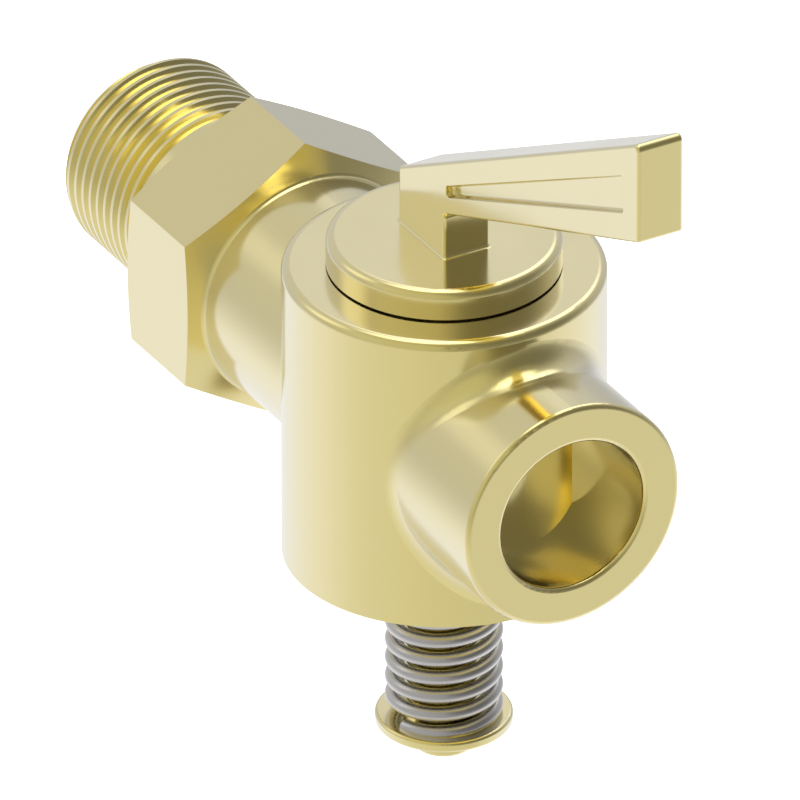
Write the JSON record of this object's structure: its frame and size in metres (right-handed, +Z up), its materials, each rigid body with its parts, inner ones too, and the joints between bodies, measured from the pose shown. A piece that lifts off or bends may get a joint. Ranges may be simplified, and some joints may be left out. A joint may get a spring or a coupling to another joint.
{
  "type": "brass drain valve",
  "caption": "Lever-turned taper plug cock with a threaded spigot, hexagon, upright barrel, spout nozzle and a spring-loaded key; it drains a pressure vessel.",
  "frame": {"origin": "centre of the hexagon's back face, which seats against the vessel, on the flow axis", "axes": "+X along the flow from the threaded spigot to the nozzle, +Z up the key's axis towards the lever"},
  "size_m": [0.1039, 0.0334, 0.0925],
  "materials": {
    "brass": "bright machined brass",
    "spring_steel": "drawn steel wire"
  },
  "bodies": {
    "body": {"valve_body": "brass"},
    "key": {"key": "brass", "spring": "spring_steel", "spring_washer": "brass"}
  },
  "joints": [
    {"name": "key_turn", "type": "hinge", "parent": "body", "child": "key", "pos_m": [0.0404, 0, 0], "axis": [0, 0, 1], "continuous": true}
  ]
}
